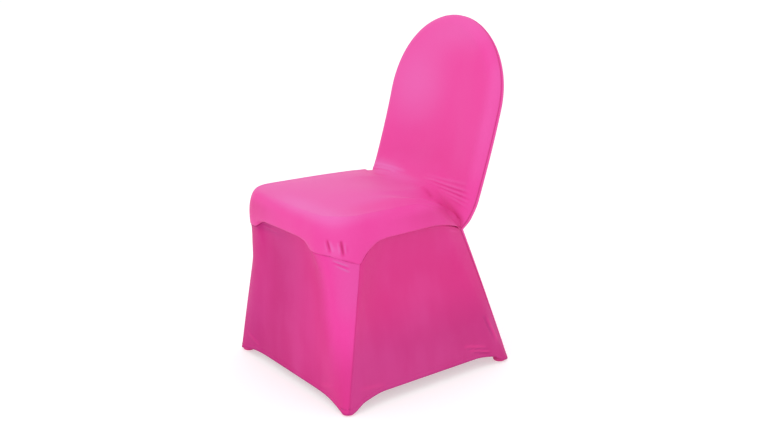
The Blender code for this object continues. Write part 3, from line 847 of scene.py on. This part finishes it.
def fold_relief(points, normals, folds):
    """Sum of the folds' heights, each a Gaussian of the distance to its line.

    A line runs straight from start to end, then is moved along the normals onto the cloth. At the
    share t of the way along it, the fold tapers as (4t(1 - t))^0.6. A line too far off is another
    panel's, so it is passed over.
    """
    height = np.zeros(len(points))
    for *ends, width, rise in folds:
        line = mix(np.array(ends[:3]), np.array(ends[3:]), np.linspace(0, 1, FOLD_STEPS)[:, None])
        nearest = [np.argmin(((points - place) ** 2).sum(1)) for place in line]
        if np.linalg.norm(points[nearest] - line, axis=1).max() > FOLD_OFF:
            continue
        off = ((points[nearest] - line) * normals[nearest]).sum(1)
        line = line + normals[nearest] * off[:, None]
        best = np.full(len(points), FAR)
        share = np.zeros(len(points))
        for k, (before, run) in enumerate(zip(line, np.diff(line, axis=0))):
            part = np.clip((points - before) @ run / (run @ run), 0, 1)
            away = np.linalg.norm(points - before - part[:, None] * run, axis=1)
            share = np.where(away < best, (k + part) / (FOLD_STEPS - 1), share)
            best = np.minimum(away, best)
        height += rise * np.exp(-(best / width) ** 2) * (4 * share * (1 - share)) ** FOLD_TAPER
    return height


def swell_relief(points, swells):
    """Sum of broad Gaussians of the distance to each centre."""
    height = np.zeros(len(points))
    for centre, reach, rise in swells:
        away = np.linalg.norm(points - np.array(centre), axis=1)
        height += rise * np.exp(-(away / reach) ** 2)
    return height


def corner_softness(points):
    """A Gaussian of the distance in plan to the seat's front corners, and none low on the cover."""
    away = np.abs(points) - np.array(CORNER_PLACE)
    near = np.exp(-(away[:, 0] ** 2 + away[:, 1] ** 2) / CORNER_REACH ** 2)
    return near * (points[:, 1] < 0) * (points[:, 2] > CORNER_LOWEST)


def seam_relief(away):
    """A dip at the seam and a low roll beside it, each a Gaussian of the distance."""
    roll = SEAM_ROLL * np.exp(-((away - SEAM_ROLL_PLACE) / SEAM_WIDTH) ** 2)
    return roll - SEAM_DIP * np.exp(-(away / SEAM_WIDTH) ** 2)


def hem_relief(away):
    """The turned-up hem: a raised band above the edge, with the dip of its stitching on top."""
    band = HEM_RAISE * (1 - ease((away - BAND_TOP) / BAND_FALL))
    return band - HEM_STITCH * np.exp(-((away - HEM_BAND) / STITCH_WIDTH) ** 2)


def welded(grid):
    """Points of a grid made one where they coincide, with its quads, and triangles at poles.

    Gives the first grid place of each point, the faces, and each face corner's own grid place.
    """
    rows, count = grid.shape[:2]
    index = np.arange(rows * count).reshape(rows, count)
    quads = np.stack([index[:-1, :-1], index[:-1, 1:], index[1:, 1:], index[1:, :-1]], -1).reshape(-1, 4)
    cells = np.round(grid.reshape(-1, 3) / WELD).astype(np.int64)
    _, first, merged = np.unique(cells, axis=0, return_index=True, return_inverse=True)
    joined = merged.reshape(-1)[quads]
    same = joined == np.roll(joined, 1, axis=1)
    flat = (joined[:, 0] == joined[:, 2]) | (joined[:, 1] == joined[:, 3])
    full = (same.sum(1) == 0) & ~flat
    pointed = (same.sum(1) == 1) & ~flat
    part = ~same[pointed]
    faces = joined[full].tolist() + joined[pointed][part].reshape(-1, 3).tolist()
    return first, faces, np.concatenate([quads[full].reshape(-1), quads[pointed][part]])


def as_laid(grid):
    """Pattern places in metres: lengths along the grid's own lines."""
    return np.stack([run_lengths(grid, 1), run_lengths(grid, 0)], -1)


def as_faced(grid):
    """Pattern places in metres for a panel that faces front or back: across and up."""
    return grid[..., [0, 2]]


def placed(name, data):
    """A new object in the scene for a mesh, a lamp or a camera."""
    item = bpy.data.objects.new(name, data)
    bpy.context.collection.objects.link(item)
    return item


class Panel:
    """A sheet of cloth as a mesh object, from its grid.

    Its relief is that of folds and swells, which fade out at crease and seams, plus that of seams and
    hem.
    Its attribute of painted light and tint is the panel's own tint with its painted light and shade,
    mixed with the crease's painted light and shade there, plus the folds' height in steps as painted
    highlight on ridges and painted shade in troughs, a Gaussian of painted shadow at the hem and one of
    darker seams. The crease is a named edge and the reach of its painted light and shade.
    """

    def __init__(self, name, grid, material, panel_light_and_tint, hem=(), seams=(), crease=(), folds=(), swells=(),
                 seam_tint=0.0, cut=as_laid):
        first, faces, corners = welded(grid)
        points = grid.reshape(-1, 3)[first]
        mesh = bpy.data.meshes.new(name)
        mesh.from_pydata(points, [], faces)
        normals = np.empty(3 * len(points))
        mesh.vertex_normals.foreach_get("vector", normals)
        normals = normals.reshape(-1, 3)
        to_seam = edge_distances(grid, seams).reshape(-1)[first]
        to_hem = edge_distances(grid, hem).reshape(-1)[first]
        to_crease = edge_distances(grid, crease[:1]).reshape(-1)[first]
        creased = fold_relief(points, normals, folds)
        relief = (creased + swell_relief(points, swells)) * ease(to_crease / CREASE_TAPER)
        relief = relief * ease(to_seam / SEAM_TAPER)
        flatter = 1 - CORNER_FLATTER * corner_softness(points)
        relief = relief + seam_relief(to_seam) * flatter + hem_relief(to_hem)
        # The panel's own tint, with its painted light and shade
        painted_light_and_tint = panel_light_and_tint(points)
        # Painted light and shade along the crease of seat and inside back
        if crease:
            shared = through(points[:, 0], CREASE_LIGHT_AND_SHADE)
            painted_light_and_tint = mix(painted_light_and_tint, shared, np.exp(-(to_crease / crease[1]) ** 2))
        # Painted highlight on fold ridges, painted shade in fold troughs, and a painted shadow along the
        # hem's edge
        painted_light_and_tint = painted_light_and_tint + creased / FOLD_SHADE - HEM_SHADE * np.exp(-(to_hem / HEM_EDGE) ** 2)
        painted_light_and_tint = painted_light_and_tint + seam_tint * np.exp(-(to_seam / SEAM_WIDTH) ** 2)
        mesh.vertices.foreach_set("co", (points + normals * relief[:, None]).reshape(-1))
        mesh.attributes.new("painted_light_and_tint", "FLOAT", "POINT").data.foreach_set("value", painted_light_and_tint)
        laid = cut(grid).reshape(-1, 2)[corners]
        mesh.uv_layers.new(name="cloth").data.foreach_set("uv", laid.reshape(-1))
        mesh.materials.append(material)
        mesh.shade_smooth()
        self.item = placed(name, mesh)
        thick = self.item.modifiers.new("cloth thickness", "SOLIDIFY")
        thick.thickness = CLOTH
        thick.offset = -1.0
        step = np.cross(np.diff(grid[:-1], axis=1), np.diff(grid[:, :-1], axis=0))
        self.area = float(np.linalg.norm(step, axis=-1).sum()) / STRETCH ** 2
        sides = (run_lengths(grid, 1)[:, -1].max(), run_lengths(grid, 0)[-1].max())
        self.flat = tuple(float(side) / STRETCH for side in sides)

    def fit(self, *nodes):
        """Stands for its nodes and rides on the one body."""
        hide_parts(*nodes)
        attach(self.item, "root")
        nodes[0] + "_knit"


class Number:
    """A shader socket that carries a number, with arithmetic that adds Math nodes."""

    def __init__(self, sheet, socket):
        self.sheet = sheet
        self.socket = socket

    def maths(self, operation, first, second=None):
        """A Math node on one number or two."""
        values = {0: first} if second is None else {0: first, 1: second}
        return self.sheet.node("ShaderNodeMath", {"operation": operation}, values)

    def __add__(self, other):
        return self.maths("ADD", self, other)

    def __mul__(self, other):
        return self.maths("MULTIPLY", self, other)

    __radd__ = __add__
    __rmul__ = __mul__

    def sine(self):
        return self.maths("SINE", self)


class Sheet:
    """The node tree of one material."""

    def __init__(self, name):
        self.material = bpy.data.materials.new(name)
        self.material.use_nodes = True
        self.tree = self.material.node_tree
        self.shader = self.tree.nodes["Principled BSDF"]

    def node(self, kind, settings, values, output=0):
        """Add a node, make its settings, then give its sockets their values or links."""
        made = self.tree.nodes.new(kind)
        for key, value in settings.items():
            setattr(made, key, value)
        for key, value in values.items():
            self.feed(made.inputs[key], value)
        return Number(self, made.outputs[output])

    def feed(self, socket, value):
        """Link a socket to a Number, or set its plain value."""
        if isinstance(value, Number):
            self.tree.links.new(value.socket, socket)
        else:
            socket.default_value = value

    def dress(self, values):
        """Give the shader's named inputs their values or links."""
        for key, value in values.items():
            self.feed(self.shader.inputs[key], value)

    def colours(self, first, last, share):
        """Mix of two colours: sockets 0, 6 and 7 are the factor and the colours."""
        values = {0: share, 6: opaque(first), 7: opaque(last)}
        return self.node("ShaderNodeMix", {"data_type": "RGBA"}, values, output=2)

    def noise(self, place, scale, detail):
        """Fractal noise about one half."""
        return self.node("ShaderNodeTexNoise", {}, {"Vector": place, "Scale": scale, "Detail": detail})

    def ranged(self, value, low, high):
        """A number taken from low..high to 0..1 and held there, with level ends."""
        settings = {"interpolation_type": "SMOOTHSTEP"}
        values = {"Value": value, "From Min": low, "From Max": high}
        return self.node("ShaderNodeMapRange", settings, values)


def opaque(colour):
    """A plain colour with an alpha of one. A Number is given back as it is."""
    return colour if isinstance(colour, Number) else (*colour, 1.0)


def stretch_knit(name, sheen=SHEEN, shine=SHINE, pale_pink=PALE_PINK):
    """Dyed knit, set by its attribute of painted light and tint: bright at 0, pale with painted sheen at
    1, deep at -1 and dark at -2 with painted shade, made uneven by noise.

    Its bump is a sine across the ribs, one across the courses, and fuzz.
    """
    sheet = Sheet(name)
    place = sheet.node("ShaderNodeTexCoord", {}, {}, output=3)
    cloth = sheet.node("ShaderNodeUVMap", {"uv_map": "cloth"}, {})
    painted_light_and_tint = sheet.node("ShaderNodeAttribute", {"attribute_name": "painted_light_and_tint"}, {}, output=2)
    parts = sheet.node("ShaderNodeSeparateXYZ", {}, {0: cloth})
    u, v = parts, Number(sheet, parts.socket.node.outputs[1])

    patches = sheet.noise(place, PATCH_SCALE, 2.0)
    drawn = sheet.node("ShaderNodeMapping", {}, {"Vector": place, "Scale": STREAK_SCALES})
    streaks = sheet.noise(drawn, 1.0, 3.0)
    fuzz = sheet.noise(place, FUZZ_SCALE, 2.0)

    # Painted light and shade from the attribute: paler with painted sheen, deeper and darker with
    # painted shade
    pale = sheet.ranged(painted_light_and_tint, 0.0, 1.0)
    deep = sheet.ranged(painted_light_and_tint * -1.0, 0.0, 1.0)
    base = sheet.colours(BRIGHT_PINK, pale_pink, pale)
    base = sheet.colours(base, DEEP_PINK, deep)
    base = sheet.colours(base, DARK_PINK, sheet.ranged(painted_light_and_tint * -1.0, 1.0, 2.0))
    dye = sheet.ranged(patches * PATCH_SHARE + streaks * STREAK_SHARE, *DYE_RANGE)
    base = sheet.colours(base, PALE_PINK, dye * DYE_PALER)
    base = sheet.colours(base, DEEP_PINK, sheet.ranged(fuzz, *FUZZ_RANGE) * FUZZ_DEEPER)

    ribs = (u * (2 * pi / KNIT_RIB)).sine()
    courses = (v * (2 * pi / KNIT_COURSE)).sine()
    height = ribs * RIB_HEIGHT + courses * COURSE_HEIGHT + fuzz * FUZZ_HEIGHT
    values = {"Strength": KNIT_STRENGTH, "Distance": KNIT_DEPTH, "Height": height}
    sheet.dress({
        "Base Color": base,
        "Normal": sheet.node("ShaderNodeBump", {}, values),
        "Roughness": ROUGHNESS + patches * PATCH_ROUGHNESS,
        "Specular IOR Level": shine,
        "Sheen Weight": sheen,
        "Sheen Roughness": SHEEN_ROUGHNESS,
        "Sheen Tint": opaque(SHEEN_TINT),
    })
    return sheet.material


def tinted(points, spots):
    """Sum of soft spots: each is an amount times a Gaussian with its own reach along each axis."""
    amount = np.zeros(len(points))
    for centre, reach, share in spots:
        away = (points - np.array(centre)) / np.array(reach)
        amount += share * np.exp(-(away ** 2).sum(1))
    return amount


def by_height(points, amount, start, rise):
    """An amount that comes in with level ends, from the start height over the rise."""
    return amount * ease((points[:, 2] - start) / rise)


def seat_painted_light_and_shade(points):
    """Painted sheen pale on the level top, bright round the edge, with the spots of painted highlight
    and painted shade in its table.
    """
    return by_height(points, *SEAT_PALE) + tinted(points, SEAT_SPOTS)


def inside_painted_light_and_shade(points):
    """Bright, with a painted highlight by a Gaussian along its right edge, and the spots of painted
    highlight and painted shade in its table.
    """
    edge = np.exp(-((points[:, 0] - EDGE_X) / EDGE_REACH) ** 2)
    return by_height(points, *EDGE_PALE) * edge + tinted(points, INSIDE_SPOTS)


def front_painted_light_and_tint(points):
    """Deep in the middle, partly the knit over the hollow and partly painted shade, brighter by
    1 / (1 + d^2.6) at distance d from a corner, in reaches, partly the knit on the leg and partly a
    painted highlight.

    The corners' painted highlight is brighter higher up, and less of it shows on the left. The spots add
    painted shadow under the lip and painted shade and light lower down.
    """
    ridge = mix(RIDGE_FOOT, RIDGE_TOP, points[:, 2] / RIDGE_HEIGHT)
    inward = (ridge - np.abs(points[:, 0])) / CORNER_GLOW
    right = ease(points[:, 0] / GLOW_CHANGE + 0.5)
    near = 1 / (1 + np.abs(inward) ** GLOW_POWER) * mix(LEFT_GLOW, 1.0, right)
    turned = TURNED_DEPTH + by_height(points, *TURNED_PALE)
    return mix(FRONT_DEPTH, turned, near) + tinted(points, FRONT_SPOTS)


def side_painted_shade_and_tint(points):
    """Deep all over, partly the knit over the hollow and partly painted shade, with more painted shade
    towards the hem.
    """
    return SIDE_DEPTH + by_height(points, *SIDE_DEEPER)


def outside_bare(points):
    """Bright, deeper below the seat."""
    return by_height(points, *OUTSIDE_DEEPER)


def pocket_bare(points):
    """Evenly deep."""
    return np.full(len(points), POCKET_DEPTH)


def pocket_cup(centre_x, centre_y, turn):
    """A cup turned about its axis, from the middle of its base up to its rim, with sine pleats."""
    steps = np.linspace(0, 1, POCKET_ROWS * (len(POCKET_PROFILE) - 1) + 1)
    knots = np.linspace(0, 1, len(POCKET_PROFILE))
    radius, height = (
        through(steps, np.column_stack([knots, column]))[:, None] for column in zip(*POCKET_PROFILE)
    )
    angle = np.linspace(0, 2 * pi, POCKET_SIDES + 1)
    angle[-1] = 0.0
    wave = 0.5 + 0.5 * np.sin(POCKET_PLEATS * angle + turn)
    radius = radius - POCKET_PLEAT * wave * ease(height / PLEAT_RISE)
    sides = (centre_x + radius * np.cos(angle), centre_y + radius * np.sin(angle))
    return np.stack([*sides, np.broadcast_to(height, radius.shape)], -1)


def sew_panels():
    """The seat, both faces of the back and the three skirts, each made whole by mirroring."""
    front_line, side_line, rear_line = foot_lines()
    stations = paced(ACROSS)
    inside = whole(*(
        back_panel(stations, -1, through(across(stations), table), INSIDE_UP)
        for table in (RIGHT_CREASE, LEFT_CREASE)
    ))
    seat = whole(
        seat_panel(RIGHT_CREASE, RIGHT_REACH, RIGHT_FALL),
        seat_panel(LEFT_CREASE, LEFT_REACH, LEFT_FALL),
    )
    outside = back_panel(stations, 1, np.full(len(stations), JUNCTION_Z), OUTSIDE_UP)
    rear = rear_skirt_panel(rear_line, outside[0])
    side = side_skirt_panel(side_line)
    seat, inside = filleted(seat, inside)
    Panel("seat_panel", seat, stretch_knit("seat knit"), seat_painted_light_and_shade,
          seams=("low",), crease=("high", SEAT_CREASE_REACH),
          folds=SEAT_FOLDS, swells=SEAT_SWELLS).fit("seat")
    Panel("inside_back_panel", inside, stretch_knit("inside back knit"), inside_painted_light_and_shade,
          seams=("first", "last"), crease=("low", INSIDE_CREASE_REACH),
          folds=INSIDE_FOLDS, swells=INSIDE_SWELLS,
          seam_tint=INSIDE_SEAM_TINT, cut=as_faced).fit("inside_back")
    Panel("outside_back_panel", whole(np.concatenate([rear[:-1], outside]))[:, ::-1],
          stretch_knit("outside back knit"), outside_bare,
          hem=("low",), seams=("first", "last"), folds=OUTSIDE_FOLDS, swells=OUTSIDE_SWELLS,
          seam_tint=OUTSIDE_SEAM_TINT, cut=as_faced).fit("outside_back")
    front_knit = stretch_knit("front skirt knit", FRONT_SHEEN, FRONT_SHINE, SHADED_PINK)
    Panel("front_skirt_panel", whole(front_skirt_panel(front_line)), front_knit, front_painted_light_and_tint,
          hem=("low",), seams=("high", "first", "last"),
          folds=FRONT_FOLDS, swells=FRONT_SWELLS).fit("front_skirt")
    for name, grid in (("right", side), ("left", mirrored(side))):
        Panel(name + "_skirt_panel", grid, stretch_knit(name + " skirt knit"), side_painted_shade_and_tint,
              hem=("low",), seams=("high", "first", "last"),
              folds=SIDE_FOLDS, swells=SIDE_SWELLS).fit(name + "_skirt")


def sew_pockets():
    """A foot pocket at each corner. Its place gives its pleats a turn of their own."""
    for end, x, y in (
        ("front", FOOT_FRONT_X - FOOT_RADIUS, FOOT_FRONT_Y + FOOT_RADIUS),
        ("rear", FOOT_REAR_X - FOOT_RADIUS, FOOT_REAR_Y - FOOT_RADIUS),
    ):
        for hand, sign in (("left", -1), ("right", 1)):
            node = f"foot_pocket_{end}_{hand}"
            cup = pocket_cup(sign * x, y, sign + y)
            knit = stretch_knit(node + " knit")
            Panel(f"{end}_{hand}_pocket", cup, knit, pocket_bare, hem=("high",)).fit(node)


def towards(azimuth, elevation):
    """Unit vector out from the cover: azimuth 0 is its front, 90 its right side, which is +X."""
    a, e = radians(azimuth), radians(elevation)
    return Vector((np.sin(a) * np.cos(e), -np.cos(a) * np.cos(e), np.sin(e)))


def aimed(item, place, target):
    """Put an item in its place with its -Z towards the target and its Y up."""
    turn = (target - place).to_track_quat("-Z", "Y").to_matrix().to_4x4()
    item.matrix_world = Matrix.Translation(place) @ turn


def set_camera():
    """The photograph's camera: the lens is the focal length in pixels times sensor over width."""
    data = bpy.data.cameras.new("photo camera")
    data.sensor_width = SENSOR
    data.lens = FOCAL_PIXELS * SENSOR / IMAGE_WIDTH
    camera = placed("photo camera", data)
    aimed(camera, VIEW_TARGET + towards(VIEW_AZIMUTH, VIEW_ELEVATION) * VIEW_DISTANCE, VIEW_TARGET)
    bpy.context.scene.camera = camera


def set_studio():
    """Two round softboxes and an even white surround."""
    for name, azimuth, elevation, distance, size, power in LAMPS:
        data = bpy.data.lights.new(name, "AREA")
        data.shape = "DISK"
        data.size = size
        data.energy = power
        aimed(placed(name, data), LAMP_TARGET + towards(azimuth, elevation) * distance, LAMP_TARGET)
    world = bpy.data.worlds.new("studio")
    world.use_nodes = True
    background = world.node_tree.nodes["Background"]
    background.inputs["Color"].default_value = opaque(WHITE)
    background.inputs["Strength"].default_value = WORLD_STRENGTH
    bpy.context.scene.world = world
    bpy.context.scene.view_settings.view_transform = "Standard"


def lay_floor():
    """A square white floor that glows a little."""
    mesh = bpy.data.meshes.new("studio_floor")
    sides = [(-1, -1, 0), (1, -1, 0), (1, 1, 0), (-1, 1, 0)]
    mesh.from_pydata(FLOOR_HALF * np.array(sides, float), [], [(0, 1, 2, 3)])
    sheet = Sheet("white floor")
    sheet.dress({
        "Base Color": opaque(FLOOR_GREY),
        "Emission Color": opaque(WHITE),
        "Emission Strength": FLOOR_GLOW,
        "Roughness": FLOOR_ROUGHNESS,
    })
    mesh.materials.append(sheet.material)
    floor = placed("studio_floor", mesh)


set_camera()
set_studio()
lay_floor()
sew_panels()
sew_pockets()
